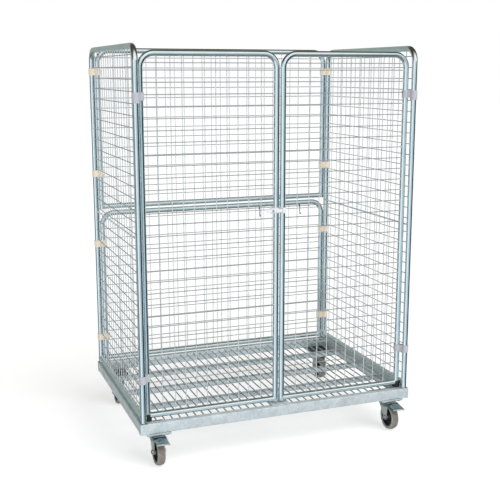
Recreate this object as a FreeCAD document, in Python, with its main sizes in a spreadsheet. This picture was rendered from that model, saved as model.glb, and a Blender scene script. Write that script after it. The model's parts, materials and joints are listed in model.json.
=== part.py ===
"""Roll cage container: a steel base on four swivel castors, two mesh side panels, a two-piece mesh
rear wall and two mesh front doors that fold back round the front legs.

Millimetres, +Z up, +X to the right as seen from the doors, doors at -Y.  The origin is on the
floor, midway along the whole length that stands over it, pedals included.  Places in this file
are given from the centre of the base, and place() moves them to that origin.
"""
import FreeCAD, Part
import math
import os

import Sketcher
from FreeCAD import Placement, Rotation, Vector

SIZES = (
    ("base_centre_y", 30, "centre of the base, from the origin"),
    ("base_width", 1340, "base, along X"),
    ("base_depth", 950, "base, along Y"),
    ("base_bottom", 157, "underside of the base above the floor"),
    ("beam_height", 50, "base beams"),
    ("beam_width", 35, "base beams and corner posts"),
    ("beam_wall", 2, "wall of the beams and posts"),
    ("socket_floor", 3, "bottom of a corner post, under its leg"),
    ("deck_pitch", 36.5, "spacing of the deck bars"),
    ("deck_bar_diameter", 6, "deck bars"),
    ("deck_bar_height", 198, "axis of the deck bars above the floor"),
    ("cross_height", 20, "cross members under the deck bars"),
    ("cross_width", 30, "cross members under the deck bars"),
    ("cross_wall", 2, "wall of the cross members"),
    ("cross_spacing", 220, "spacing of the cross members"),
    ("tube_diameter", 26, "round tube of every panel"),
    ("tube_wall", 1.5, "wall of that tube"),
    ("bend_radius", 60, "bends, on the tube's centre line"),
    ("wire_diameter", 4, "mesh wires"),
    ("wire_pitch", 50, "mesh wires"),
    ("leg_x", 652.5, "axis of the corner legs"),
    ("leg_y", 457.5, "axis of the corner legs"),
    ("total_height", 1842, "top of the side and rear panels"),
    ("rail_height", 230, "axis of every bottom rail"),
    ("middle_bar_height", 1016, "rod across each side panel"),
    ("middle_bar_diameter", 8, "rod across each side panel"),
    ("rear_stile_x", 623, "axis of the rear panels' outer tubes"),
    ("rear_split_rail", 1042.5, "axis of the upper rear panel's bottom rail"),
    ("rear_lower_top", 1007.5, "axis of the lower rear panel's top tube"),
    ("door_top", 1801, "axis of the doors' top tube"),
    ("door_stile_x", 626, "axis of a closed door's hinge-side tube"),
    ("door_meeting_x", 15.5, "axis of a closed door's meeting-side tube"),
    ("door_y", 427.5, "plane of the closed doors, in front of the base's centre"),
    ("clip_height", 34, "plastic clips"),
    ("clip_wall", 3.5, "plastic round each tube"),
    ("turning_gap", 0.05, "radial clearance of a part that turns on a tube"),
    ("collar_height", 9.5, "collars that carry the doors' upper clips"),
    ("foot_diameter", 37, "flange of the feet of the doors' hinge-side tubes"),
    ("foot_flange", 11.5, "height of that flange"),
    ("foot_sleeve", 33, "outside of the sleeve above it"),
    ("foot_height", 30, "feet of the doors' hinge-side tubes"),
    ("foot_gap", 0.5, "from a door's foot down to the base"),
    ("latch_height", 1116.5, "middle of the latch above the floor"),
    ("latch_body_height", 24, "latch bracket and keeper"),
    ("latch_pivot_x", 37.5, "latch pivot, left of the meeting line"),
    ("lever_length", 88, "latch lever"),
    ("lever_height", 15, "latch lever"),
    ("lever_thickness", 4.5, "latch lever"),
    ("castor_x", 585, "swivel axis"),
    ("castor_y", 405, "swivel axis"),
    ("castor_trail", 42, "swivel axis to wheel axle"),
    ("wheel_diameter", 125, "wheels"),
    ("wheel_width", 36, "wheels"),
    ("fork_top", 140, "top of the castor forks above the floor"),
    ("axle_diameter", 10, "wheel axles"),
    ("mounting_width", 110, "castor pads and top plates, along X"),
    ("pad_length", 155, "castor pads, along Y"),
    ("pad_thickness", 6, "castor pads welded under the base"),
    ("plate_length", 135, "castor top plates, along Y"),
    ("plate_thickness", 4, "castor top plates"),
    ("race_diameter", 68, "ball race on the castor forks"),
    ("king_pin_diameter", 12, "pin that the castor forks swivel on"),
    ("fork_width", 51, "outside of the castor fork"),
    ("fork_sheet", 3, "sheet of the castor fork"),
    ("pedal_width", 62, "brake pedals"),
    ("pedal_reach", 130, "swivel axis to the pedal's lip"),
    ("pedal_pin_diameter", 6, "pin that the pedal turns on"),
)

doc = FreeCAD.newDocument("roll_cage_container")
sheet = doc.addObject("Spreadsheet::Sheet", "Sizes")
for row, (alias, value, what) in enumerate(SIZES, start=1):
    sheet.set(f"A{row}", what)
    sheet.set(f"B{row}", str(value))
    sheet.setAlias(f"B{row}", alias)
doc.recompute()


def size(alias):
    return float(sheet.get(alias))


# ---- sizes that several sub-parts share, worked out from the sheet ----
TUBE_R = size("tube_diameter") / 2
WIRE_R = size("wire_diameter") / 2
PITCH = size("wire_pitch")
BASE_TOP = size("base_bottom") + size("beam_height")
LEG_X, LEG_Y = size("leg_x"), size("leg_y")
LEG_FOOT = size("base_bottom") + size("socket_floor")
HOOP_AXIS_TOP = size("total_height") - TUBE_R
RAIL_Z = size("rail_height")
PANEL_FOOT = RAIL_Z - TUBE_R
DOOR_Y = -size("door_y")
CLIP_R = TUBE_R + size("clip_wall")
AXLE_Z = size("wheel_diameter") / 2
PAD_BOTTOM = size("base_bottom") - size("pad_thickness")
PLATE_BOTTOM = PAD_BOTTOM - size("plate_thickness")
ALONG_X = Rotation(Vector(0, 1, 0), 90)
ALONG_Y = Rotation(Vector(1, 0, 0), -90)
UPRIGHT = Rotation()
SIDES = (("left", -1), ("right", 1))

sub_parts = []


# ---- helpers ----
def place(x, y, z, turn=UPRIGHT):
    """A place given from the centre of the base, as a Placement in the part's frame."""
    return Placement(Vector(x, y + size("base_centre_y"), z), turn)


def keep(piece, label):
    """Marks a document object as a sub-part, which is written to its own file."""
    piece.Label = label
    sub_parts.append(piece)
    return piece


def bind(piece, **expressions):
    for prop, expression in expressions.items():
        piece.setExpression(prop, str(expression))
    return piece


def rod(radius, length, spot):
    """A Part::Cylinder; radius and length are spreadsheet expressions or numbers."""
    piece = doc.addObject("Part::Cylinder", "rod")
    bind(piece, Radius=radius, Height=length)
    piece.Placement = spot
    return piece


def block(length, width, height, spot):
    piece = doc.addObject("Part::Box", "block")
    bind(piece, Length=length, Width=width, Height=height)
    piece.Placement = spot
    return piece


def together(pieces):
    """Separate solids held in one object."""
    group = doc.addObject("Part::Compound", "group")
    group.Links = pieces
    return group


def fused(pieces):
    whole = doc.addObject("Part::MultiFuse", "fused")
    whole.Shapes = pieces
    return whole


def cut(base, tools):
    piece = doc.addObject("Part::Cut", "cut")
    piece.Base = base
    piece.Tool = tools[0] if len(tools) == 1 else fused(tools)
    return piece


def sketch_on(body, role, rise=0.0):
    """An empty sketch on one of the body's own origin planes, raised along its normal."""
    sketch = body.newObject("Sketcher::SketchObject", "sketch")
    plane = next(p for p in body.Origin.OriginFeatures if p.Role == role)
    sketch.AttachmentSupport = [(plane, "")]
    sketch.MapMode = "FlatFace"
    sketch.AttachmentOffset = Placement(Vector(0, 0, rise), UPRIGHT)
    return sketch


def dimension(sketch, name, constraint, expression):
    """Adds a named dimension to a sketch and binds it to the sheet."""
    number = sketch.addConstraint(constraint)
    sketch.renameConstraint(number, name)
    sketch.setExpression(f"Constraints.{name}", expression)


def outline(sketch, points):
    """A closed run of straight edges."""
    ends = [Vector(a, b, 0) for a, b in points]
    for start, end in zip(ends, ends[1:] + ends[:1]):
        sketch.addGeometry(Part.LineSegment(start, end))


def circle(sketch, across, up, radius, expression):
    number = sketch.addGeometry(Part.Circle(Vector(across, up, 0), Vector(0, 0, 1), radius))
    dimension(sketch, f"radius_{number}", Sketcher.Constraint("Radius", number, radius), expression)


def feature(body, kind, sketch, **expressions):
    """Adds a PartDesign feature and makes sure that a pocket removes material."""
    doc.recompute()
    before = body.Shape.Volume if body.Tip else 0.0
    piece = body.newObject(f"PartDesign::{kind}", kind.lower())
    piece.Profile = sketch
    if expressions.pop("midplane", False):
        piece.Midplane = True
    if expressions.pop("reversed", False):
        piece.Reversed = True
    bind(piece, **expressions)
    doc.recompute()
    if kind == "Pocket" and body.Shape.Volume >= before:
        raise RuntimeError(f"a pocket of {body.Name} removed nothing")
    return piece


# ---- bent tubes, rails and mesh ----
def hoop(label, half_width, top_axis, foot, spot):
    """An upside-down U of round tube: two legs and a top run joined by two bends.

    half_width and top_axis are expressions for its centre line; foot is the height of its ends.
    """
    body = doc.addObject("PartDesign::Body", label)
    path = sketch_on(body, "XZ_Plane")
    across, up, bend = 500.0, 1500.0, size("bend_radius")
    normal = Vector(0, 0, 1)
    left = Part.Circle(Vector(bend - across, up - bend, 0), normal, bend)
    right = Part.Circle(Vector(across - bend, up - bend, 0), normal, bend)
    path.addGeometry(Part.LineSegment(Vector(-across, 0, 0), Vector(-across, up - bend, 0)))
    path.addGeometry(Part.ArcOfCircle(left, math.pi / 2, math.pi))
    path.addGeometry(Part.LineSegment(Vector(bend - across, up, 0), Vector(across - bend, up, 0)))
    path.addGeometry(Part.ArcOfCircle(right, 0, math.pi / 2))
    path.addGeometry(Part.LineSegment(Vector(across, up - bend, 0), Vector(across, 0, 0)))
    for rule in (
        ("Tangent", 0, 2, 1, 2),
        ("Tangent", 1, 1, 2, 1),
        ("Tangent", 2, 2, 3, 2),
        ("Tangent", 3, 1, 4, 1),
        ("Vertical", 0),
        ("Vertical", 4),
        ("Horizontal", 2),
        ("Equal", 1, 3),
        ("Symmetric", 0, 1, 4, 2, -2),
        ("PointOnObject", 0, 1, -1),
    ):
        path.addConstraint(Sketcher.Constraint(*rule))
    width_rule = Sketcher.Constraint("DistanceX", 0, 1, 4, 2, 2 * across)
    height_rule = Sketcher.Constraint("DistanceY", 0, 1, 2, 1, up)
    dimension(path, "bend", Sketcher.Constraint("Radius", 1, bend), "Sizes.bend_radius")
    dimension(path, "width", width_rule, f"2 * ({half_width})")
    dimension(path, "height", height_rule, f"({top_axis}) - {foot}")

    section = sketch_on(body, "XY_Plane")
    circle(section, -across, 0, TUBE_R, "Sizes.tube_diameter / 2")
    circle(section, -across, 0, TUBE_R - 1, "Sizes.tube_diameter / 2 - Sizes.tube_wall")
    section.addConstraint(Sketcher.Constraint("PointOnObject", 0, 3, -1))
    section.addConstraint(Sketcher.Constraint("Coincident", 0, 3, 1, 3))
    place_rule = Sketcher.Constraint("DistanceX", 0, 3, -1, 1, across)
    dimension(section, "place", place_rule, half_width)

    tube = body.newObject("PartDesign::AdditivePipe", "tube")
    tube.Profile = section
    tube.Spine = path
    body.Placement = spot
    return keep(body, label)


def rail(label, half_width, centre, along):
    """A straight tube between two upright tubes, its ends saddled to them."""
    turn = ALONG_X if along == "x" else ALONG_Y
    step = Vector(1, 0, 0) if along == "x" else Vector(0, 1, 0)
    start = centre - step * half_width
    whole = rod("Sizes.tube_diameter / 2", 2 * half_width, place(*start, turn))
    bore = rod("Sizes.tube_diameter / 2 - Sizes.tube_wall", 2 * half_width, place(*start, turn))
    saddles = []
    for sign in (-1, 1):
        foot = centre + step * (sign * half_width) - Vector(0, 0, 3 * TUBE_R)
        saddles.append(rod("Sizes.tube_diameter / 2", "3 * Sizes.tube_diameter", place(*foot)))
    return keep(cut(whole, [bore] + saddles), label)


def spread(half_clear):
    """Places of the upright wires, from the panel's middle, for half its clear width.

    Even pitches in the middle; the two outermost gaps on each side share what is left.
    """
    pairs = int((half_clear - 2.5 * PITCH) // PITCH)
    inner = [PITCH * (k + 0.5) for k in range(pairs + 1)]
    edge = (inner[-1] + half_clear) / 2
    ordered = inner + [edge]
    return [-x for x in reversed(ordered)] + ordered


def rungs(first, last):
    """Heights of the level wires from first up to last, a pitch apart."""
    return [first + PITCH * k for k in range(int(round((last - first) / PITCH)) + 1)]


def level_reach(half_width, top_axis, z):
    """Half the length of a level wire at height z, which is shorter between the bends."""
    rise = z + WIRE_R - (top_axis - size("bend_radius"))
    if rise <= 0:
        return half_width - TUBE_R
    inside = size("bend_radius") - TUBE_R
    return half_width - size("bend_radius") + math.sqrt(inside**2 - rise**2)


def mesh(label, half_width, centre, along, outward, levels, bottom, top_axis):
    """Welded mesh: level wires on the outer face of the upright ones, as separate solids."""
    turn = ALONG_X if along == "x" else ALONG_Y
    step = Vector(1, 0, 0) if along == "x" else Vector(0, 1, 0)
    wires = []
    for z in levels:
        reach = level_reach(half_width, top_axis, z)
        start = centre - step * reach + outward * WIRE_R
        spot = place(start.x, start.y, z, turn)
        wires.append(rod("Sizes.wire_diameter / 2", 2 * reach, spot))
    top = top_axis - TUBE_R
    for offset in spread(half_width - TUBE_R):
        foot = centre + step * offset - outward * WIRE_R
        spot = place(foot.x, foot.y, bottom)
        wires.append(rod("Sizes.wire_diameter / 2", top - bottom, spot))
    return keep(together(wires), label)


# ---- base ----
def box_tube(label, length, spot):
    """A rectangular beam along its own X."""
    outer = block(length, "Sizes.beam_width", "Sizes.beam_height", Placement())
    wall = size("beam_wall")
    hollow_spot = Placement(Vector(0, wall, wall), UPRIGHT)
    width = "Sizes.beam_width - 2 * Sizes.beam_wall"
    height = "Sizes.beam_height - 2 * Sizes.beam_wall"
    beam = cut(outer, [block(length, width, height, hollow_spot)])
    beam.Placement = spot
    return keep(beam, label)


def base():
    half_w, half_d = size("base_width") / 2, size("base_depth") / 2
    beam, low = size("beam_width"), size("base_bottom")
    across = "Sizes.base_width - 2 * Sizes.beam_width"
    deep = "Sizes.base_depth - 2 * Sizes.beam_width"
    quarter = Rotation(Vector(0, 0, 1), 90)
    box_tube("base_beam_front", across, place(beam - half_w, -half_d, low))
    box_tube("base_beam_rear", across, place(beam - half_w, half_d - beam, low))
    box_tube("base_beam_left", deep, place(beam - half_w, beam - half_d, low, quarter))
    box_tube("base_beam_right", deep, place(half_w, beam - half_d, low, quarter))

    posts = []
    for x in (-LEG_X, LEG_X):
        for y in (-LEG_Y, LEG_Y):
            corner = place(x - beam / 2, y - beam / 2, low)
            outer = block("Sizes.beam_width", "Sizes.beam_width", "Sizes.beam_height", corner)
            wall = size("beam_wall")
            mouth = place(x - beam / 2 + wall, y - beam / 2 + wall, LEG_FOOT)
            inside = "Sizes.beam_width - 2 * Sizes.beam_wall"
            posts.append(cut(outer, [block(inside, inside, "Sizes.beam_height", mouth)]))
    keep(together(posts), "corner_posts")

    bars = []
    reach = half_w - beam
    count = int(reach // size("deck_pitch"))
    for k in range(-count, count + 1):
        spot = place(k * size("deck_pitch"), beam - half_d, size("deck_bar_height"), ALONG_Y)
        bars.append(rod("Sizes.deck_bar_diameter / 2", deep, spot))
    keep(together(bars), "deck_bars")

    supports = []
    top = size("deck_bar_height") - size("deck_bar_diameter") / 2
    wall = size("cross_wall")
    for k in (-1, 0, 1):
        y = k * size("cross_spacing") - size("cross_width") / 2
        low = top - size("cross_height")
        outer = block(across, "Sizes.cross_width", "Sizes.cross_height", place(beam - half_w, y, low))
        inner = block(across, "Sizes.cross_width - 2 * Sizes.cross_wall",
                      "Sizes.cross_height - 2 * Sizes.cross_wall",
                      place(beam - half_w, y + wall, low + wall))
        supports.append(cut(outer, [inner]))
    keep(together(supports), "cross_members")


# ---- side and rear panels ----
def side_panel(name, side):
    x = side * LEG_X
    outward = Vector(side, 0, 0)
    centre = Vector(x, 0, RAIL_Z)
    quarter = Rotation(Vector(0, 0, 1), 90)
    top_axis = "Sizes.total_height - Sizes.tube_diameter / 2"
    hoop(f"{name}_side_hoop", "Sizes.leg_y", top_axis, LEG_FOOT, place(x, 0, LEG_FOOT, quarter))
    rail(f"{name}_side_rail", LEG_Y, centre, "y")

    levels = rungs(276.5, 976.5) + rungs(1043.8, 1793.8)
    bottom = RAIL_Z + TUBE_R
    mesh(f"{name}_side_mesh", LEG_Y, centre, "y", outward, levels, bottom, HOOP_AXIS_TOP)


def side_bars():
    """A rod across the inner face of each side panel's mesh."""
    bars = []
    reach = LEG_Y - TUBE_R
    inward = size("wire_diameter") + size("middle_bar_diameter") / 2
    for side in (-1, 1):
        spot = place(side * (LEG_X - inward), -reach, size("middle_bar_height"), ALONG_Y)
        bars.append(rod("Sizes.middle_bar_diameter / 2", 2 * reach, spot))
    keep(together(bars), "side_bars")


def rear_panel(name, foot, rail_z, top_expression, top_axis, levels):
    half = size("rear_stile_x")
    hoop(f"{name}_hoop", "Sizes.rear_stile_x", top_expression, foot, place(0, LEG_Y, foot))
    centre = Vector(0, LEG_Y, rail_z)
    rail(f"{name}_rail", half, centre, "x")
    bottom = rail_z + TUBE_R
    mesh(f"{name}_mesh", half, centre, "x", Vector(0, 1, 0), levels, bottom, top_axis)


def rear_wall():
    split = size("rear_split_rail")
    full = "Sizes.total_height - Sizes.tube_diameter / 2"
    upper = rungs(1093.8, 1793.8)
    rear_panel("rear_upper", split - TUBE_R, split, full, HOOP_AXIS_TOP, upper)
    low_top = size("rear_lower_top")
    lower = rungs(274.6, 974.6)
    rear_panel("rear_lower", PANEL_FOOT, RAIL_Z, "Sizes.rear_lower_top", low_top, lower)


# ---- clips ----
def clip(leg, tube, z, leg_gap):
    """A plastic figure of eight round two upright tubes; leg_gap lets it turn on the first."""
    low = z - size("clip_height") / 2
    outside = "Sizes.tube_diameter / 2 + Sizes.clip_wall"
    rings = [rod(outside, "Sizes.clip_height", place(p.x, p.y, low)) for p in (leg, tube)]
    apart = tube - leg
    angle = math.degrees(math.atan2(apart.y, apart.x))
    turn = Rotation(Vector(0, 0, 1), angle)
    corner = leg + turn.multVec(Vector(0, -TUBE_R * 0.8, 0))
    web = block(apart.Length, 1.6 * TUBE_R, "Sizes.clip_height", place(corner.x, corner.y, low, turn))
    bores = []
    for p, gap in ((leg, leg_gap), (tube, "0")):
        spot = place(p.x, p.y, low - 1)
        bores.append(rod(f"Sizes.tube_diameter / 2 + {gap}", "Sizes.clip_height + 2", spot))
    return cut(fused(rings + [web]), bores)


def rear_clips():
    clips = []
    for side in (-1, 1):
        leg = Vector(side * LEG_X, LEG_Y, 0)
        tube = Vector(side * size("rear_stile_x"), LEG_Y, 0)
        for z in (1723.5, 1214.1, 850.0, 347.0):
            clips.append(clip(leg, tube, z, "0"))
    keep(together(clips), "rear_clips")


# ---- doors ----
UPPER_CLIP_Z, LOWER_CLIP_Z = 1624.5, 406.0
DOOR_LEVELS = rungs(281.5, 1731.5) + [1761.5]


def leg_collars():
    """Rings fixed on the front legs, on which the doors' upper clips rest and turn."""
    collars = []
    top = UPPER_CLIP_Z - size("clip_height") / 2 - 0.5
    for side in (-1, 1):
        spot = place(side * LEG_X, -LEG_Y, top - size("collar_height"))
        ring = rod("Sizes.tube_diameter / 2 + Sizes.clip_wall", "Sizes.collar_height", spot)
        collars.append(cut(ring, [rod("Sizes.tube_diameter / 2", "Sizes.collar_height", spot)]))
    keep(together(collars), "leg_collars")


def door(name, side):
    stile, meeting = size("door_stile_x"), size("door_meeting_x")
    middle = side * (stile + meeting) / 2
    half = (stile - meeting) / 2
    half_expression = "(Sizes.door_stile_x - Sizes.door_meeting_x) / 2"
    hoop(f"{name}_door_hoop", half_expression, "Sizes.door_top", PANEL_FOOT,
         place(middle, DOOR_Y, PANEL_FOOT))
    centre = Vector(middle, DOOR_Y, RAIL_Z)
    rail(f"{name}_door_rail", half, centre, "x")
    mesh(f"{name}_door_mesh", half, centre, "x", Vector(0, -1, 0), DOOR_LEVELS, RAIL_Z + TUBE_R,
         size("door_top"))

    leg = Vector(side * LEG_X, -LEG_Y, 0)
    tube = Vector(side * stile, DOOR_Y, 0)
    lower = clip(leg, tube, LOWER_CLIP_Z, "Sizes.turning_gap")
    upper = clip(leg, tube, UPPER_CLIP_Z, "Sizes.turning_gap")
    # the upper clip is notched for the one level wire that meets the tube inside it
    wire_z = min(DOOR_LEVELS, key=lambda z: abs(z - UPPER_CLIP_Z))
    notch = 8.0
    notch_x = tube.x - 2 * TUBE_R if side > 0 else tube.x
    spot = place(notch_x, DOOR_Y - notch, wire_z - notch / 2)
    upper = cut(upper, [block("Sizes.tube_diameter", 2 * notch, notch, spot)])
    keep(together([upper, lower]), f"{name}_door_clips")

    door_foot(name, side, tube)


def door_foot(name, side, tube):
    """Flanged plastic foot on a hinge-side tube, its sleeve open where it passes the side rail."""
    low = BASE_TOP + size("foot_gap")
    spot = place(tube.x, tube.y, low)
    flange = rod("Sizes.foot_diameter / 2", "Sizes.foot_flange", spot)
    sleeve = rod("Sizes.foot_sleeve / 2", "Sizes.foot_height", spot)
    bore = rod("Sizes.tube_diameter / 2", "Sizes.foot_height", place(tube.x, tube.y, PANEL_FOOT))
    slot = size("foot_diameter")
    slot_x = tube.x + side * (TUBE_R - 1.0) - (slot if side < 0 else 0.0)
    opening = block(slot, slot, slot, place(slot_x, tube.y - slot / 2, low + size("foot_flange")))
    inward = tube.x - (slot if side > 0 else 0.0)
    rail_way = rod("Sizes.tube_diameter / 2 + 0.3", slot, place(inward, tube.y, RAIL_Z, ALONG_X))
    keep(cut(fused([flange, sleeve]), [bore, opening, rail_way]), f"{name}_door_foot")


def door_stop():
    """A plate on the front beam with a peg that stops both doors from swinging inwards."""
    width, thick, peg_r, peg_top = 90.0, 4.0, 5.0, 245.0
    front, back = -470.0, -408.0
    plate = block(width, back - front, thick, place(-width / 2, front, BASE_TOP))
    peg_low = BASE_TOP + thick / 2
    peg = rod(peg_r, peg_top - peg_low, place(0, DOOR_Y + 10.5, peg_low))
    keep(fused([plate, peg]), "door_stop")


# ---- latch ----
def latch():
    """Bracket and falling lever on the left door, keeper on the right door."""
    z, tall = size("latch_height"), size("latch_body_height")
    low = z - tall / 2
    ring_wall, play = 3.0, 0.5
    ring_r = TUBE_R + ring_wall
    front = DOOR_Y - ring_r
    meeting = size("door_meeting_x")
    pivot_x = -size("latch_pivot_x")
    lever_front = front - play - size("lever_thickness")
    lever_low = z - size("lever_height") / 2
    screw_r, shoulder_r, head_r, head_high = 2.5, 3.0, 5.0, 2.5
    door_gap = 1.2

    def tube_ring(side):
        """A ring on one meeting tube with its bore, and the block that cuts it short of the other."""
        spot = place(side * meeting, DOOR_Y, low)
        ring = rod(f"Sizes.tube_diameter / 2 + {ring_wall}", "Sizes.latch_body_height", spot)
        bore = rod("Sizes.tube_diameter / 2", "Sizes.latch_body_height", spot)
        start = -door_gap if side < 0 else door_gap - ring_r
        short = block(ring_r, 2 * ring_r, tall, place(start, DOOR_Y - ring_r, low))
        return ring, bore, short

    ring, bore, short = tube_ring(-1)
    ear_side = ear_deep = 11.0
    ear = block(ear_side - meeting - pivot_x, ear_deep, tall, place(pivot_x - ear_side, front, low))
    screw_hole = rod(screw_r, ear_deep, place(pivot_x, front, z, ALONG_Y))
    keep(cut(fused([ring, ear]), [bore, short, screw_hole]), "latch_bracket")

    # the keeper's pocket is open at the top, and the lever falls into it
    ring, bore, short = tube_ring(1)
    wide, deep = 16.0, 8.0
    left = meeting - wide / 2
    pocket_deep = size("lever_thickness") + 2 * play
    floor_z = lever_low - play
    wall = block(wide, deep, tall, place(left, front - deep, low))
    pocket = block(wide, pocket_deep, tall, place(left, front - pocket_deep, floor_z))
    joiner = block(wide, deep, floor_z - low, place(left, front - deep / 2, low))
    keep(cut(fused([cut(wall, [pocket]), ring, joiner]), [bore, short]), "latch_keeper")

    tail = 30.5
    lever = block("Sizes.lever_length", "Sizes.lever_thickness", "Sizes.lever_height",
                  place(pivot_x - tail, lever_front, lever_low))
    hole = rod(f"{shoulder_r} + Sizes.turning_gap", "Sizes.lever_thickness",
               place(pivot_x, lever_front, z, ALONG_Y))
    keep(cut(lever, [hole]), "latch_lever")

    # shouldered screw: the lever turns on its shoulder
    shoulder = rod(shoulder_r, f"Sizes.lever_thickness + {play}",
                   place(pivot_x, lever_front, z, ALONG_Y))
    head = rod(head_r, head_high, place(pivot_x, lever_front - head_high, z, ALONG_Y))
    thread = rod(screw_r, ear_deep, place(pivot_x, front, z, ALONG_Y))
    keep(fused([shoulder, head, thread]), "latch_screw")


def hold_open_hook(name, side):
    """A bent-wire hook whose open eye hangs on a level wire of the door mesh."""
    body = doc.addObject("PartDesign::Body", f"{name}_hook")
    eye_r, shank, bend = 4.4, 30.0, 6.0
    normal = Vector(0, 0, 1)
    path = sketch_on(body, "YZ_Plane")
    eye = Part.Circle(Vector(0, 0, 0), normal, eye_r)
    tip = Part.Circle(Vector(-eye_r - bend, -shank, 0), normal, bend)
    path.addGeometry(Part.ArcOfCircle(eye, math.radians(-75), math.pi))
    path.addGeometry(Part.LineSegment(Vector(-eye_r, 0, 0), Vector(-eye_r, -shank, 0)))
    path.addGeometry(Part.ArcOfCircle(tip, math.pi, 2 * math.pi))
    path.addConstraint(Sketcher.Constraint("Tangent", 0, 2, 1, 1))
    path.addConstraint(Sketcher.Constraint("Tangent", 1, 2, 2, 2))
    section = sketch_on(body, "XZ_Plane")
    end = Vector(-eye_r - 2 * bend, -shank, 0)
    section.AttachmentOffset = Placement(Vector(0, end.y, -end.x), Rotation(Vector(1, 0, 0), -90))
    circle(section, 0, 0, WIRE_R, "Sizes.wire_diameter / 2")
    tube = body.newObject("PartDesign::AdditivePipe", "wire")
    tube.Profile = section
    tube.Spine = path
    wire_z = min(DOOR_LEVELS, key=lambda z: abs(z - size("latch_height")))
    body.Placement = place(side * 97.0, DOOR_Y - WIRE_R, wire_z)
    return keep(body, f"{name}_hook")


# ---- castors ----
BOLT_X, BOLT_Y, BOLT_R = 40.0, 52.5, 5.0
HEX_R, BOLT_HEAD = 9.2, 6.0
PEDAL_PIVOT = Vector(0, -4, 123)


def castor_spots():
    for depth, fore in (("front", -1), ("rear", 1)):
        for name, side in SIDES:
            yield f"{depth}_{name}", side * size("castor_x"), fore * size("castor_y"), fore


def hexagon(height, spot):
    """Head of a bolt or a nut."""
    head = doc.addObject("Part::Prism", "hexagon")
    head.Polygon = 6
    head.Circumradius = HEX_R
    head.Height = height
    head.Placement = spot
    return head


def castor_mountings():
    """Welded pads, bolted top plates with their riveted king pins, and the bolts."""
    pads, plates, bolts = [], [], []
    half_wide = size("mounting_width") / 2
    pad_inset, plate_bore, play = 3.0, BOLT_R + 0.5, 0.5
    rivet_r, rivet_high = 10.0, 4.5
    rivet_top = size("fork_top") - size("fork_sheet") - play
    for _, x, y, fore in castor_spots():
        corners = [(x + a * BOLT_X, y + b * BOLT_Y) for a in (-1, 1) for b in (-1, 1)]
        long = size("pad_length")
        pad_y = fore * (size("base_depth") / 2 - pad_inset - long / 2)
        pad = block("Sizes.mounting_width", "Sizes.pad_length", "Sizes.pad_thickness",
                    place(x - half_wide, pad_y - long / 2, PAD_BOTTOM))
        holes = [rod(BOLT_R, "Sizes.pad_thickness", place(a, b, PAD_BOTTOM)) for a, b in corners]
        pads.append(cut(pad, holes))

        plate = block("Sizes.mounting_width", "Sizes.plate_length", "Sizes.plate_thickness",
                      place(x - half_wide, y - size("plate_length") / 2, PLATE_BOTTOM))
        holes = [rod(plate_bore, "Sizes.plate_thickness", place(a, b, PLATE_BOTTOM))
                 for a, b in corners]
        pin_low = rivet_top - rivet_high / 2
        pin = rod("Sizes.king_pin_diameter / 2", PLATE_BOTTOM + play - pin_low, place(x, y, pin_low))
        rivet = rod(rivet_r, rivet_high, place(x, y, rivet_top - rivet_high))
        plates.append(fused([cut(plate, holes), pin, rivet]))

        for a, b in corners:
            shank = rod(BOLT_R, "Sizes.plate_thickness + Sizes.pad_thickness",
                        place(a, b, PLATE_BOTTOM))
            bolts.append(fused([shank, hexagon(BOLT_HEAD, place(a, b, PLATE_BOTTOM - BOLT_HEAD))]))
    keep(together(pads), "castor_pads")
    keep(together(plates), "castor_plates")
    keep(together(bolts), "castor_bolts")


def fork(name, x, y, braked):
    """Sheet-steel fork: web and race on top, two cheeks down to the axle."""
    body = doc.addObject("PartDesign::Body", f"{name}_fork")
    axle_y, lobe, top = -size("castor_trail"), 14.0, size("fork_top")
    front, back, shoulder = -62.0, 24.0, 128.0
    profile = sketch_on(body, "YZ_Plane")
    corners = [(axle_y - lobe, AXLE_Z), (front, shoulder), (front, top), (back, top),
               (back, shoulder), (axle_y + lobe, AXLE_Z)]
    ends = [Vector(a, b, 0) for a, b in corners]
    for start, end in zip(ends, ends[1:]):
        profile.addGeometry(Part.LineSegment(start, end))
    around = Part.Circle(Vector(axle_y, AXLE_Z, 0), Vector(0, 0, 1), lobe)
    profile.addGeometry(Part.ArcOfCircle(around, math.pi, 2 * math.pi))
    feature(body, "Pad", profile, midplane=True, Length="Sizes.fork_width")

    between = sketch_on(body, "XY_Plane")
    gap = size("fork_width") / 2 - size("fork_sheet")
    past = 2 * size("wheel_diameter")
    outline(between, [(-gap, -past), (gap, -past), (gap, past), (-gap, past)])
    feature(body, "Pocket", between, reversed=True, Length="Sizes.fork_top - Sizes.fork_sheet")

    seat = 0.5
    race = sketch_on(body, "XY_Plane", top - seat)
    circle(race, 0, 0, size("race_diameter") / 2, "Sizes.race_diameter / 2")
    feature(body, "Pad", race, Length=PLATE_BOTTOM - top)

    pin_bore = sketch_on(body, "XY_Plane")
    circle(pin_bore, 0, 0, size("king_pin_diameter") / 2,
           "Sizes.king_pin_diameter / 2 + Sizes.turning_gap")
    feature(body, "Pocket", pin_bore, reversed=True, Length="Sizes.base_bottom")

    bores = sketch_on(body, "YZ_Plane")
    circle(bores, axle_y, AXLE_Z, size("axle_diameter") / 2, "Sizes.axle_diameter / 2")
    if braked:
        circle(bores, PEDAL_PIVOT.y, PEDAL_PIVOT.z, size("pedal_pin_diameter") / 2,
               "Sizes.pedal_pin_diameter / 2 + Sizes.turning_gap")
    feature(body, "Pocket", bores, midplane=True, Length="2 * Sizes.fork_width")
    body.Placement = place(x, y, 0)
    return keep(body, f"{name}_fork")


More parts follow.
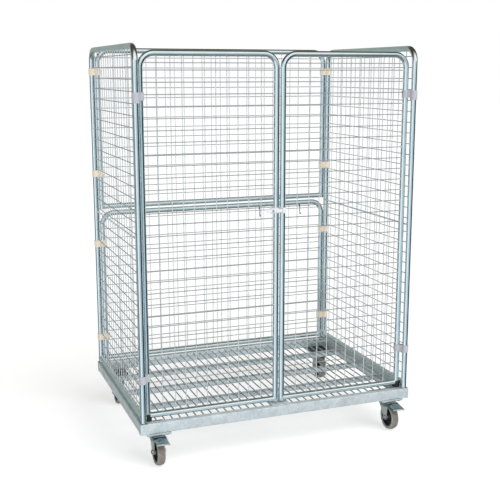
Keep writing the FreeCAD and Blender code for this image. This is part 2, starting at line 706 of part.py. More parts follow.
def axle(name, x, y):
    """Bolt, nut and the two spacer sleeves that it clamps between the fork's cheeks."""
    outside, gap = size("fork_width") / 2, size("fork_width") / 2 - size("fork_sheet")
    wheel_y = y - size("castor_trail")

    def along(start, radius, length):
        return rod(radius, length, place(x + start, wheel_y, AXLE_Z, ALONG_X))

    head, nut, thread_end = 6.5, 7.5, 8.0
    sleeve, sleeve_r = 2.0, 8.0
    return keep(fused([
        along(-outside, "Sizes.axle_diameter / 2", 2 * outside + thread_end),
        along(-gap, sleeve_r, sleeve),
        along(gap - sleeve, sleeve_r, sleeve),
        hexagon(head, place(x - outside - head, wheel_y, AXLE_Z, ALONG_X)),
        hexagon(nut, place(x + outside, wheel_y, AXLE_Z, ALONG_X))]), f"{name}_axle")


def turned(label, points, crown=None):
    """A body of revolution about its own X axis; crown is the middle of an arched last edge."""
    body = doc.addObject("PartDesign::Body", label)
    half = sketch_on(body, "XZ_Plane")
    ends = [Vector(a, b, 0) for a, b in points]
    for start, end in zip(ends, ends[1:]):
        half.addGeometry(Part.LineSegment(start, end))
    if crown:
        half.addGeometry(Part.Arc(ends[-1], Vector(*crown, 0), ends[0]))
    else:
        half.addGeometry(Part.LineSegment(ends[-1], ends[0]))
    doc.recompute()
    spin = body.newObject("PartDesign::Revolution", "revolution")
    spin.Profile = half
    spin.ReferenceAxis = (half, ["H_Axis"])
    spin.Angle = 360
    return body


def wheel(name, x, y):
    half = size("wheel_width") / 2
    rim, tread = 47.0, size("wheel_diameter") / 2
    bore = size("axle_diameter") / 2 + size("turning_gap")
    hub = turned(f"{name}_hub", [
        (-half - 2, bore), (-half - 2, 14), (-6, 18), (-4, 40), (-half + 3, 43), (-half + 3, rim),
        (half - 3, rim), (half - 3, 43), (4, 40), (6, 18), (half + 2, 14), (half + 2, bore)])
    shoulder = tread - 4.5
    tyre = turned(f"{name}_tyre", [
        (half, shoulder), (half, rim + 6), (half - 2.5, rim), (-half + 2.5, rim),
        (-half, rim + 6), (-half, shoulder)], crown=(0, tread))
    for piece in (hub, tyre):
        piece.Placement = place(x, y - size("castor_trail"), AXLE_Z)
    keep(hub, f"{name}_hub")
    keep(tyre, f"{name}_tyre")


def pedal(name, x, y):
    """Brake pedal: a sloping tread beyond the fork, an arm down each cheek, and its cross pin."""
    body = doc.addObject("PartDesign::Body", f"{name}_pedal")
    skin = 2.5
    heel, lip, tread_start = 6.0, -size("pedal_reach"), -64.0
    low, heel_top, tread_top, lip_top = 117.0, 130.0, 135.0, 121.0
    shell = sketch_on(body, "YZ_Plane")
    outline(shell, [(heel, low), (heel, heel_top), (-14, tread_top), (-66, tread_top),
                    (lip, lip_top), (lip, low)])
    feature(body, "Pad", shell, midplane=True, Length="Sizes.pedal_width")

    inside = sketch_on(body, "YZ_Plane")
    past = 10.0
    outline(inside, [(heel + past, low - past), (heel + past, tread_top + past),
                     (tread_start, tread_top + past), (tread_start, tread_top - skin),
                     (lip + skin, lip_top - skin), (lip + skin, low - past)])
    feature(body, "Pocket", inside, midplane=True, Length=f"Sizes.pedal_width - {2 * skin}")

    pin = sketch_on(body, "YZ_Plane")
    circle(pin, PEDAL_PIVOT.y, PEDAL_PIVOT.z, size("pedal_pin_diameter") / 2,
           "Sizes.pedal_pin_diameter / 2")
    feature(body, "Pad", pin, midplane=True, Length="Sizes.pedal_width")
    body.Placement = place(x, y, 0)
    return keep(body, f"{name}_pedal")


# ---- the whole object ----
base()
for side_name, side_sign in SIDES:
    side_panel(side_name, side_sign)
    door(side_name, side_sign)
    hold_open_hook(side_name, side_sign)
side_bars()
rear_wall()
rear_clips()
leg_collars()
door_stop()
latch()
castor_mountings()
for castor, castor_x, castor_y, castor_fore in castor_spots():
    fork(castor, castor_x, castor_y, castor_fore < 0)
    axle(castor, castor_x, castor_y)
    wheel(castor, castor_x, castor_y)
    if castor_fore < 0:
        pedal(castor, castor_x, castor_y)

doc.recompute()
for thing in doc.Objects:
    if "Invalid" in thing.State or "Error" in thing.State:
        raise RuntimeError(f"{thing.Label} failed: {thing.State}")
for piece in sub_parts:
    if piece.Shape.isNull() or not piece.Shape.isValid():
        raise RuntimeError(f"{piece.Label} has no valid shape")

os.makedirs("parts", exist_ok=True)
for piece in sub_parts:
    piece.Shape.exportStep(f"parts/{piece.Label}.step")
print(len(sub_parts), "sub-parts,", sum(len(p.Shape.Solids) for p in sub_parts), "solids")
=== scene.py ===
"""Looks of the roll cage container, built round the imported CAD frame.

Metres, in the CAD frame: +Z up, +X to the right as seen from the doors, doors at -Y.
"""

import json
import math
import random

import bmesh
import bpy
import numpy as np
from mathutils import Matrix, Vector


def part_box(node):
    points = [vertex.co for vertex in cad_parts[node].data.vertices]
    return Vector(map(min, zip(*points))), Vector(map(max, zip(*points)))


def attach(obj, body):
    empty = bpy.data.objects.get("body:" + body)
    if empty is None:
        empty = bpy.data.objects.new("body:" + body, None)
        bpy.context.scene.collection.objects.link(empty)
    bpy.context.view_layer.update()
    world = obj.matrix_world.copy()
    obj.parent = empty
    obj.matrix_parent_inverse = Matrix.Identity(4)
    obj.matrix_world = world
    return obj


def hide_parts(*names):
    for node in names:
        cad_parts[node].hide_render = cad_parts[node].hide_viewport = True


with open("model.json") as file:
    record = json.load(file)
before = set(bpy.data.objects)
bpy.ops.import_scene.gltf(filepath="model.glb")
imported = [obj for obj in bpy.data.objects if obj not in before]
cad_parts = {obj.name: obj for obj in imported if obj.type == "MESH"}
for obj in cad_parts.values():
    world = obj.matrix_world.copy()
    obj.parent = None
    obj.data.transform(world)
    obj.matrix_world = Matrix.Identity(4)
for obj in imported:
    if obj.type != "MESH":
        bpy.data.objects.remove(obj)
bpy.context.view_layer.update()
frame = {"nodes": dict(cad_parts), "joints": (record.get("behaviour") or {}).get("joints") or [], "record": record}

MM = 0.001
BODIES = frame["record"]["behaviour"]["bodies"]
BODY_OF = {node: body for body, nodes in BODIES.items() for node in nodes}
SLOT_OF = {part["node"]: part["material_slot"] for part in frame["record"]["subparts"]}
X, Y, Z = Vector((1, 0, 0)), Vector((0, 1, 0)), Vector((0, 0, 1))
chance = random.Random(7)


# ---- materials ----
def node(tree, kind, **inputs):
    """A shader node; inputs are given by socket name, with spaces written as underscores."""
    made = tree.nodes.new(kind)
    for name, value in inputs.items():
        socket = made.inputs[name.replace("_", " ")]
        if isinstance(value, bpy.types.NodeSocket):
            tree.links.new(value, socket)
        else:
            socket.default_value = value
    return made


def stretched(tree, source, scale):
    """Coordinates scaled by a different amount along each axis."""
    return node(tree, "ShaderNodeMapping", Vector=source, Scale=scale).outputs["Vector"]


def noise(tree, vector, scale, detail=3.0, roughness=0.55):
    """Soft noise from 0 to 1; a larger scale makes finer patches."""
    made = node(tree, "ShaderNodeTexNoise", Vector=vector, Scale=scale, Detail=detail,
                Roughness=roughness)
    return made.outputs["Fac"]


def ramp(tree, factor, stops):
    """A colour ramp; stops are (position, colour or grey)."""
    made = node(tree, "ShaderNodeValToRGB", Fac=factor)
    elements = made.color_ramp.elements
    while len(elements) < len(stops):
        elements.new(0.5)
    for element, (position, colour) in zip(elements, stops):
        element.position = position
        rgb = (colour, colour, colour) if isinstance(colour, (int, float)) else colour
        element.color = (*rgb, 1)
    return made.outputs["Color"]


def mixed(tree, factor, first, second, blend="MIX"):
    """Two colours mixed; the factor and each colour may be a value or a socket."""
    made = tree.nodes.new("ShaderNodeMix")
    made.data_type = "RGBA"
    made.blend_type = blend
    for name, value in (("Factor", factor), ("A", first), ("B", second)):
        socket = next(s for s in made.inputs
                      if s.name == name and s.type == ("VALUE" if name == "Factor" else "RGBA"))
        if isinstance(value, bpy.types.NodeSocket):
            tree.links.new(value, socket)
        else:
            socket.default_value = value if name == "Factor" else (*value, 1)
    return next(s for s in made.outputs if s.type == "RGBA")


def surface(name, metallic, **settings):
    """A material with its Principled shader, ready for nodes."""
    material = bpy.data.materials.new(name)
    material.use_nodes = True
    shader = material.node_tree.nodes["Principled BSDF"]
    shader.inputs["Metallic"].default_value = metallic
    for socket, value in settings.items():
        shader.inputs[socket.replace("_", " ")].default_value = value
    return material, material.node_tree, shader


def bumped(tree, shader, height, strength, distance):
    """Gives a shader's surface a fine relief; distance is its depth in metres."""
    made = node(tree, "ShaderNodeBump", Height=height, Strength=strength, Distance=distance)
    tree.links.new(made.outputs["Normal"], shader.inputs["Normal"])


# How fine the marks on drawn stock are: across it, across it again and along it, per metre.
STREAKS, WORN, SCRATCHES = (260, 260, 5), (90, 90, 14), (900, 900, 30)
BLOOM_PATCHES = (55, 55, 26)
BLUISH, YELLOWISH = (0.64, 0.72, 0.80), (0.80, 0.80, 0.72)


def drawn_zinc(name, colour, darker, rough, grain=True, metallic=1.0):
    """Bright zinc on drawn tube or wire: faint streaks along it, chalky bloom, fine scratches.

    With grain, the streaks follow each piece's own length through its grain attribute.
    """
    material, tree, shader = surface(name, metallic)
    if grain:
        attribute = node(tree, "ShaderNodeAttribute")
        attribute.attribute_name = "grain"
        base = attribute.outputs["Vector"]
    else:
        base = node(tree, "ShaderNodeTexCoord").outputs["Object"]
    place = node(tree, "ShaderNodeTexCoord").outputs["Object"]
    streaks = noise(tree, stretched(tree, base, STREAKS), 1.0, 4.0)
    clouds = noise(tree, place, 9.0, 3.0)
    tone = ramp(tree, streaks, ((0.30, darker), (0.62, colour)))
    tint = ramp(tree, clouds, ((0.35, BLUISH), (0.55, colour), (0.72, YELLOWISH)))
    passivation = mixed(tree, 0.35, tone, tint)
    patches = noise(tree, stretched(tree, base, BLOOM_PATCHES), 1.0, 6.0, 0.7)
    bloom = ramp(tree, patches, ((0.58, 0.0), (0.78, 0.65)))
    chalky = tuple(0.82 * c for c in colour)
    tree.links.new(mixed(tree, bloom, passivation, chalky), shader.inputs["Base Color"])
    wear = noise(tree, stretched(tree, base, WORN), 1.0, 5.0, 0.65)
    dull = ramp(tree, wear, ((0.35, rough - 0.05), (0.60, rough + 0.03), (0.80, rough + 0.18)))
    rubbed = mixed(tree, bloom, dull, (rough + 0.26,) * 3)
    tree.links.new(rubbed, shader.inputs["Roughness"])
    scratches = noise(tree, stretched(tree, base, SCRATCHES), 1.0, 2.0)
    bumped(tree, shader, scratches, 0.18, 0.6 * MM)
    return material


def dipped_zinc(name, colour, rough, metallic):
    """Hot-dip zinc: soft spangle, cloudy tone and a slightly uneven skin."""
    material, tree, shader = surface(name, metallic)
    place = node(tree, "ShaderNodeTexCoord").outputs["Object"]
    spangle = node(tree, "ShaderNodeTexVoronoi", Vector=place, Scale=120.0)
    grey = ramp(tree, spangle.outputs["Color"], ((0.2, 0.88), (0.8, 1.0)))
    dull = tuple(0.80 * c for c in colour)
    clouds = ramp(tree, noise(tree, place, 14.0, 4.0, 0.6), ((0.35, dull), (0.65, colour)))
    tree.links.new(mixed(tree, 1.0, clouds, grey, "MULTIPLY"), shader.inputs["Base Color"])
    patches = ramp(tree, noise(tree, place, 30.0, 5.0, 0.6), (
        (0.30, rough - 0.07), (0.70, rough + 0.10)))
    tree.links.new(patches, shader.inputs["Roughness"])
    bumped(tree, shader, noise(tree, place, 160.0, 3.0), 0.16, 0.8 * MM)
    return material


def moulded(name, colour, rough, worn):
    """Moulded plastic: fine pebble, faint cloudiness and dusty patches as pale as worn says."""
    material, tree, shader = surface(name, 0.0, Specular_IOR_Level=0.45)
    place = node(tree, "ShaderNodeTexCoord").outputs["Object"]
    dust = 0.45
    dusty = tuple(c + (dust - c) * worn for c in colour)
    clouds = ramp(tree, noise(tree, place, 45.0, 4.0, 0.6), ((0.40, colour), (0.75, dusty)))
    tree.links.new(clouds, shader.inputs["Base Color"])
    patches = ramp(tree, noise(tree, place, 80.0, 3.0), (
        (0.3, rough - 0.06), (0.7, rough + 0.10)))
    tree.links.new(patches, shader.inputs["Roughness"])
    bumped(tree, shader, noise(tree, place, 500.0, 2.0), 0.10, 0.4 * MM)
    return material


def rubber(name, colour):
    """Grey non-marking rubber, dusty, with darker and paler worn patches."""
    material, tree, shader = surface(name, 0.0, Specular_IOR_Level=0.35)
    place = node(tree, "ShaderNodeTexCoord").outputs["Object"]
    dark, pale = (tuple(part * c for c in colour) for part in (0.66, 1.34))
    clouds = ramp(tree, noise(tree, place, 60.0, 5.0, 0.65), (
        (0.32, dark), (0.55, colour), (0.75, pale)))
    tree.links.new(clouds, shader.inputs["Base Color"])
    shader.inputs["Roughness"].default_value = 0.62
    bumped(tree, shader, noise(tree, place, 420.0, 3.0), 0.25, 0.6 * MM)
    return material


MATERIALS = {
    "zinc_tube": drawn_zinc("zinc_tube", (0.90, 0.95, 0.97), (0.77, 0.86, 0.90), 0.13),
    "zinc_wire": drawn_zinc("zinc_wire", (0.88, 0.88, 0.90), (0.76, 0.77, 0.79), 0.30,
                            metallic=0.6),
    "zinc_beam": dipped_zinc("zinc_beam", (0.77, 0.83, 0.86), 0.42, 0.45),
    "castor_zinc": dipped_zinc("castor_zinc", (0.74, 0.75, 0.72), 0.32, 0.70),
    # Painted shade: a darker copy of the wire zinc for the level wires, standing in for the darker reflections
    # they catch.
    "level_wire_painted_shade": drawn_zinc("level_wire_painted_shade", (0.60, 0.59, 0.57), (0.46, 0.46, 0.45), 0.30,
                             metallic=0.8),
    # Painted shade: the deck bars are a darker copy of the wire zinc, standing in for the shade they lie in.
    "deck_wire_painted_shade": drawn_zinc("deck_wire_painted_shade", (0.50, 0.53, 0.54), (0.34, 0.37, 0.38), 0.32,
                            metallic=0.9),
    # Painted shade: near-black zinc for the tops of the castor pads, standing in for the shade they lie in under
    # the door and the beam.
    "pad_painted_shade": dipped_zinc("pad_painted_shade", (0.09, 0.13, 0.14), 0.45, 0.7),
    "hook_wire": drawn_zinc("hook_wire", (0.34, 0.33, 0.30), (0.22, 0.22, 0.21), 0.34, False),
    "fastener_steel": drawn_zinc("fastener_steel", (0.78, 0.77, 0.72), (0.6, 0.6, 0.58), 0.28, False),
    "pedal_steel": drawn_zinc("pedal_steel", (0.24, 0.38, 0.41), (0.10, 0.18, 0.21), 0.30, False),
    "tyre": rubber("tyre", (0.225, 0.203, 0.184)),
    "tyre_wall": rubber("tyre_wall", (0.300, 0.300, 0.280)),
    "hub_plastic": moulded("hub_plastic", (0.012, 0.012, 0.014), 0.42, 0.05),
    "black_plastic": moulded("black_plastic", (0.014, 0.015, 0.016), 0.50, 0.06),
    "door_clip_plastic": moulded("door_clip_plastic", (0.46, 0.46, 0.505), 0.36, 0.05),
    "rear_clip_plastic": moulded("rear_clip_plastic", (0.82, 0.70, 0.56), 0.42, 0.05),
    "latch_plastic": moulded("latch_plastic", (0.70, 0.71, 0.73), 0.38, 0.05),
}


# ---- mesh building ----
# Edges that turn by more than this stay sharp in the shading, or get a bevel.
SHARP = math.radians(38)
# About how far apart the rings of points stand on a straight piece.
RING_GAP = 0.2


def level_run(low, high):
    """The level axis along which a box is longer."""
    return X if high.x - low.x > high.y - low.y else Y


def other_level(run):
    """The level axis square to the given one."""
    return Y if run is X else X


class Shape:
    """Points and faces gathered for one mesh, with each point's place along its own stock."""

    def __init__(self):
        self.points, self.faces, self.grain = [], [], []

    def add(self, points, faces, grain=None):
        """Adds points with the faces between them; without grain, the points serve as it."""
        start = len(self.points)
        self.points.extend(points)
        self.faces.extend([[start + i for i in face] for face in faces])
        self.grain.extend(points if grain is None else grain)

    def piece(self, name, slot, body, *replaced):
        """Makes the object, in its material, riding on its body and standing for CAD nodes."""
        mesh = bpy.data.meshes.new(name)
        mesh.from_pydata([tuple(p) for p in self.points], [], self.faces)
        attribute = mesh.attributes.new("grain", "FLOAT_VECTOR", "POINT")
        attribute.data.foreach_set("vector", np.array(self.grain, np.float32).ravel())
        return finished(mesh, name, slot, body, *replaced)


def finished(mesh, name, slot, body, *replaced, bevel=0.0):
    """An object made of a mesh, with its material, its bevel and what the frame has to know."""
    mesh.validate()
    for polygon in mesh.polygons:
        polygon.use_smooth = True
    mesh.set_sharp_from_angle(angle=SHARP)
    mesh.materials.clear()
    mesh.materials.append(MATERIALS[slot])
    thing = bpy.data.objects.new(name, mesh)
    bpy.context.scene.collection.objects.link(thing)
    if bevel:
        rounding = thing.modifiers.new("rounded_edges", "BEVEL")
        rounding.width = bevel
        rounding.segments = 3
        rounding.limit_method = "ANGLE"
        rounding.angle_limit = SHARP
        rounding.harden_normals = True
    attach(thing, body)
    if replaced:
        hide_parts(*replaced)
    return thing


def sweep(shape, path, radius, sides, closed=False, capped=True, ripple=None):
    """A round section carried along a path without twist; ripple gives its swell at a step."""
    path = [Vector(p) for p in path]
    count = len(path)
    tangents = []
    for i in range(count):
        before = path[i - 1] if (closed or i > 0) else path[i]
        after = path[(i + 1) % count] if (closed or i < count - 1) else path[i]
        tangents.append((after - before).normalized())
    standing = abs(tangents[0].z) > 0.9
    across = X.copy() if standing else tangents[0].orthogonal().normalized()
    points, grain, run = [], [], 0.0
    for i, (place, tangent) in enumerate(zip(path, tangents)):
        across = (across - tangent * across.dot(tangent)).normalized()
        other = tangent.cross(across)
        if i:
            run += (place - path[i - 1]).length
        reach = radius * (ripple(i) if ripple else 1.0)
        for k in range(sides):
            turn = 2 * math.pi * k / sides
            points.append(place + reach * (math.cos(turn) * across + math.sin(turn) * other))
            grain.append((radius * math.cos(turn), radius * math.sin(turn), run))
    faces = []
    for i in range(count if closed else count - 1):
        a, b = i * sides, ((i + 1) % count) * sides
        for k in range(sides):
            n = (k + 1) % sides
            faces.append((a + k, a + n, b + n, b + k))
    if capped and not closed:
        faces.append(tuple(reversed(range(sides))))
        faces.append(tuple(range((count - 1) * sides, count * sides)))
    shape.add(points, faces, grain)


def lathe(shape, profile, centre, axis, sides):
    """A closed profile of (radius, distance along axis) turned round the axis through centre."""
    axis = Vector(axis).normalized()
    across = axis.orthogonal().normalized()
    other = axis.cross(across)
    points, grain, faces = [], [], []
    count = len(profile)
    for k in range(sides):
        turn = 2 * math.pi * k / sides
        out = math.cos(turn) * across + math.sin(turn) * other
        for radius, along in profile:
            points.append(Vector(centre) + radius * out + along * axis)
            grain.append((radius * math.cos(turn), radius * math.sin(turn), along))
    for k in range(sides):
        a, b = k * count, ((k + 1) % sides) * count
        for j in range(count):
            n = (j + 1) % count
            faces.append((a + j, a + n, b + n, b + j))
    shape.add(points, faces, grain)


def rippled(depth, pace):
    """The swell of a weld bead, for sweep."""
    return lambda i: 1 + depth * math.sin(i * pace)


def arc(centre, radius, start, end, steps):
    """Points (a, b) of a flat arc; angles in degrees."""
    turns = [math.radians(start + (end - start) * k / steps) for k in range(steps + 1)]
    return [(centre[0] + radius * math.cos(t), centre[1] + radius * math.sin(t)) for t in turns]


def blob_template():
    """Points and faces of a small unit ball, for weld nuggets."""
    ball = bmesh.new()
    bmesh.ops.create_uvsphere(ball, u_segments=8, v_segments=5, radius=1.0)
    points = np.array([v.co for v in ball.verts])
    faces = [[v.index for v in f.verts] for f in ball.faces]
    ball.free()
    return points, faces


BALL_POINTS, BALL_FACES = blob_template()


def nugget(shape, centre, size):
    """A weld nugget; size is its half extent along X, Y and Z, give or take a tenth."""
    uneven = np.array([size[k] * chance.uniform(0.9, 1.12) for k in range(3)])
    points = BALL_POINTS * uneven + np.array(centre)
    shape.add([Vector(p) for p in points], BALL_FACES)


def solids(name):
    """Boxes of the separate solids of a CAD node, each as (lowest corner, highest corner).

    Points in one place count as one, and points joined by edges belong to one solid.
    """
    mesh = frame["nodes"][name].data
    keys, owner = {}, []
    for vertex in mesh.vertices:
        owner.append(keys.setdefault(tuple(round(c, 6) for c in vertex.co), len(keys)))
    parent = list(range(len(keys)))

    def root(i):
        while parent[i] != i:
            parent[i] = parent[parent[i]]
            i = parent[i]
        return i

    for edge in mesh.edges:
        a, b = (root(owner[i]) for i in edge.vertices)
        parent[a] = b
    groups = {}
    for key, index in keys.items():
        groups.setdefault(root(index), []).append(key)
    return [(Vector(np.min(g, 0)), Vector(np.max(g, 0))) for g in groups.values()]


def refined(name, bevel, piece_name=None, painted_shade_top=None):
    """A CAD node's own shape, with its small edges rounded.

    The faces that look up can have a material of their own, a darker one that paints shade on them.
    """
    same_place, flat_enough = 1e-6, math.radians(0.6)
    work = bmesh.new()
    work.from_mesh(frame["nodes"][name].data)
    bmesh.ops.remove_doubles(work, verts=work.verts, dist=same_place)
    bmesh.ops.dissolve_limit(work, angle_limit=flat_enough, verts=work.verts, edges=work.edges)
    mesh = bpy.data.meshes.new(name + "_shape")
    work.to_mesh(mesh)
    work.free()
    thing = finished(mesh, piece_name or name + "_piece", SLOT_OF[name], BODY_OF[name], name,
                     bevel=bevel)
    # Painted shade: the upward faces take the darker material.
    if painted_shade_top:
        mesh.materials.append(MATERIALS[painted_shade_top])
        for polygon in mesh.polygons:
            polygon.material_index = int(polygon.normal.z > 0.5)
    return thing


# ---- tubes ----
RAIL_LOW, RAIL_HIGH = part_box("rear_lower_rail")
TUBE_R = (RAIL_HIGH.z - RAIL_LOW.z) / 2
TUBE_WALL = 1.5 * MM
TUBE_SIDES = 40
BEND_R = 60 * MM
LEG_STEPS, BEND_STEPS, TOP_STEPS, RAIL_STEPS = 6, 12, 6, 6
BEAD_R = 2.0 * MM
BEAD_STEPS, BEAD_SIDES = 72, 8


def hoop_path(low, high):
    """Centre line of an upside-down U, up one leg, round the top and down the other."""
    run = level_run(low, high)
    middle = (low + high) / 2
    half = (high - low).dot(run) / 2 - TUBE_R
    top, foot = high.z - TUBE_R, low.z
    leg = top - BEND_R - foot
    start = Vector((middle.x, middle.y, 0))

    def at(across, up):
        return start + run * across + Z * up

    def bend(across, start, end):
        return [at(a, b) for a, b in arc((across, top - BEND_R), BEND_R, start, end, BEND_STEPS)]

    points = [at(-half, foot + leg * k / LEG_STEPS) for k in range(LEG_STEPS + 1)]
    points += bend(BEND_R - half, 180, 90)
    points += [at((half - BEND_R) * (2 * k / TOP_STEPS - 1), top) for k in range(1, TOP_STEPS)]
    points += bend(half - BEND_R, 90, 0)
    points += [at(half, foot + leg * (1 - k / LEG_STEPS)) for k in range(LEG_STEPS + 1)]
    # Each leg and its bend both hold the point where they meet, and one of the two is dropped.
    same_place = 1e-5
    clean = [points[0]]
    for p in points[1:]:
        if (p - clean[-1]).length > same_place:
            clean.append(p)
    return clean


def pipe(shape, path):
    """An open tube with its wall: outer skin, inner skin and the rims that join them."""
    first = len(shape.points)
    sweep(shape, path, TUBE_R, TUBE_SIDES, capped=False)
    inner = len(shape.points)
    sweep(shape, path, TUBE_R - TUBE_WALL, TUBE_SIDES, capped=False)
    last = (len(path) - 1) * TUBE_SIDES
    for k in range(TUBE_SIDES):
        n = (k + 1) % TUBE_SIDES
        shape.faces.append([first + n, first + k, inner + k, inner + n])
        shape.faces.append([first + last + k, first + last + n, inner + last + n, inner + last + k])


def saddle_bead(shape, rail_low, rail_high, sign):
    """Weld bead where a rail meets an upright tube at one of its ends."""
    run = level_run(rail_low, rail_high)
    side = other_level(run)
    middle = (rail_low + rail_high) / 2
    half = (rail_high - rail_low).dot(run) / 2
    bead_out = 0.4 * BEAD_R
    reach = TUBE_R + bead_out
    path = []
    for k in range(BEAD_STEPS):
        turn = 2 * math.pi * k / BEAD_STEPS
        inset = math.sqrt(max(reach ** 2 - (reach * math.cos(turn)) ** 2, 0.0))
        path.append(middle + run * sign * (half - inset) + side * reach * math.cos(turn)
                    + Z * reach * math.sin(turn))
    sweep(shape, path, BEAD_R, BEAD_SIDES, closed=True, ripple=rippled(0.14, 1.9))


def tube_frame(name):
    """A panel's hoop and rail with their weld beads, as two pieces."""
    hoop_node, rail_node = f"{name}_hoop", f"{name}_rail"
    shape = Shape()
    pipe(shape, hoop_path(*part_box(hoop_node)))
    shape.piece(name + "_tube_hoop", "zinc_tube", BODY_OF[hoop_node], hoop_node)

    low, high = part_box(rail_node)
    run = level_run(low, high)
    middle = (low + high) / 2
    hidden_end = 0.45 * TUBE_R
    half = (high - low).dot(run) / 2 - hidden_end
    shape = Shape()
    places = [2 * k / RAIL_STEPS - 1 for k in range(RAIL_STEPS + 1)]
    pipe(shape, [middle + run * half * place for place in places])
    for sign in (-1, 1):
        saddle_bead(shape, low, high, sign)
    shape.piece(name + "_tube_rail", "zinc_tube", BODY_OF[rail_node], rail_node)


# ---- wire mesh ----
# Weld nuggets of a mesh panel. Their reach, and how much less it is from face to face where
# wires cross, are in wire radii. Those at a wire's end are larger by the last factor.
NUGGET_R = 1.45
NUGGET_SUNK = 0.75
END_NUGGET = 1.1


def wire(shape, low, high, sides=10):
    """A straight wire that fills its CAD box; returns its axis, radius, middle and half length."""
    size = high - low
    run = max((X, Y, Z), key=lambda a: size.dot(a))
    r = sorted(size)[0] / 2
    middle, half = (low + high) / 2, size.dot(run) / 2
    steps = max(2, int(2 * half / RING_GAP))
    path = [middle + run * half * (2 * k / steps - 1) for k in range(steps + 1)]
    sweep(shape, path, r, sides)
    return run, r, middle, half


def wire_panel(name):
    """Wires of a mesh panel, nuggets at their crossings and where they meet the tubes.

    The level wires are painted a little darker than the upright ones: painted shade for the darker reflections
    that level wires catch.
    """
    mesh_node = f"{name}_mesh"
    shape = Shape()
    boxes = solids(mesh_node)
    standing = [high.z - low.z > max(high.x - low.x, high.y - low.y) for low, high in boxes]
    uprights = [wire(shape, *box) for box, upright in zip(boxes, standing) if upright]
    first_level = len(shape.faces)
    levels = [wire(shape, *box) for box, upright in zip(boxes, standing) if not upright]
    first_nugget = len(shape.faces)
    run, r = levels[0][:2]
    side = other_level(run)
    full = Vector((NUGGET_R * r, NUGGET_R * r, NUGGET_R * r))
    flat = full - side * NUGGET_SUNK * r
    for _, _, middle, half in levels:
        for _, _, upright, tall in uprights:
            gap = abs((upright - middle).dot(run))
            if gap < half and abs(middle.z - upright.z) < tall:
                centre = Vector((upright.x, upright.y, middle.z))
                centre += side * (middle - upright).dot(side) / 2
                nugget(shape, centre, flat)
        for sign in (-1, 1):
            nugget(shape, middle + run * sign * half, full * END_NUGGET)
    for _, _, middle, half in uprights:
        for sign in (-1, 1):
            nugget(shape, middle + Z * sign * half, full * END_NUGGET)
    thing = shape.piece(name + "_wires", "zinc_wire", BODY_OF[mesh_node], mesh_node)
    # Painted shade: the level wires take the darker copy of the wire zinc.
    thing.data.materials.append(MATERIALS["level_wire_painted_shade"])
    for polygon in thing.data.polygons:
        polygon.material_index = int(first_level <= polygon.index < first_nugget)


for panel in ("left_side", "right_side", "rear_upper", "rear_lower", "left_door", "right_door"):
    tube_frame(panel)
    wire_panel(panel)


def loose_bars(bar_node, end_size):
    """Straight round bars with a weld nugget at each end, its reach given in bar radii."""
    shape = Shape()
    for box in solids(bar_node):
        run, r, middle, half = wire(shape, *box, sides=16)
        for sign in (-1, 1):
            nugget(shape, middle + run * sign * half, Vector((1, 1, 1)) * r * end_size)
    return shape


loose_bars("side_bars", 1.25).piece("side_rods", "zinc_wire", "frame", "side_bars")


def deck():
    """Deck bars, welded at their ends and on each cross member."""
    shape = loose_bars("deck_bars", 1.3)
    inset = 4 * MM
    size = (4 * MM, 3 * MM, 1.6 * MM)
    for low, high in solids("deck_bars"):
        for cross_low, cross_high in solids("cross_members"):
            for y in (cross_low.y + inset, cross_high.y - inset):
                nugget(shape, ((low.x + high.x) / 2, y, cross_high.z), size)
    thing = shape.piece("deck_rods", "zinc_wire", "frame", "deck_bars")
    # Painted shade: the deck bars take the darker zinc.
    thing.data.materials[0] = MATERIALS["deck_wire_painted_shade"]


deck()


# ---- base ----
BEAM_WALL = 2 * MM
CORNER_STEPS = 5


def box_section(shape, low, high, corner):
    """An open rectangular tube with rounded corners, lying along the box's longer side."""
    size = high - low
    run = level_run(low, high)
    side = other_level(run)
    middle = (low + high) / 2
    half = size.dot(run) / 2
    inner_corner = max(corner - BEAM_WALL, 0.6 * MM)

    def ring(half_side, half_up, r):
        """The tube's outline, a quarter turn at each corner."""
        spots = []
        for a, b, start in ((1, 1, 0), (-1, 1, 90), (-1, -1, 180), (1, -1, 270)):
            centre = (a * (half_side - r), b * (half_up - r))
            spots += arc(centre, r, start, start + 90, CORNER_STEPS)
        return spots

    half_side, half_up = size.dot(side) / 2, size.z / 2
    outer = ring(half_side, half_up, corner)
    inner = ring(half_side - BEAM_WALL, half_up - BEAM_WALL, inner_corner)
    count = len(outer)
    steps = max(1, int(2 * half / RING_GAP))
    points, faces = [], []
    for spots in (outer, inner):
        for k in range(steps + 1):
            along = half * (2 * k / steps - 1)
            points += [middle + run * along + side * a + Z * b for a, b in spots]
    skin = (steps + 1) * count
    for start in (0, skin):
        for k in range(steps):
            for j in range(count):
                n = (j + 1) % count
                a, b = start + k * count, start + (k + 1) * count
                faces.append((a + j, a + n, b + n, b + j))
    for start in (0, steps * count):
        for j in range(count):
            n = (j + 1) % count
            faces.append((start + j, start + n, skin + start + n, skin + start + j))
    shape.add(points, faces)


BEAM_STEP = 0.9 * MM


def base_beams():
    """Beams stand a small step inside the corner posts, so that the weld seams show."""
    step = Vector((1, 1, 1)) * BEAM_STEP
    for side in ("front", "rear", "left", "right"):
        low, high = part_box(f"base_beam_{side}")
        run = level_run(low, high)
        inside = step - run * step.dot(run)
        shape = Shape()
        box_section(shape, low + inside, high - inside, 3.5 * MM)
        shape.piece(f"beam_{side}", "zinc_beam", "frame", f"base_beam_{side}")
    shape = Shape()
    for low, high in solids("cross_members"):
        box_section(shape, low, high, 2.5 * MM)
    shape.piece("cross_tubes", "zinc_beam", "frame", "cross_members")


POST_SIDE = 35 * MM
SEAM_INSET = 2.0 * MM
SEAM_R = 1.7 * MM
SEAM_STEPS = 14


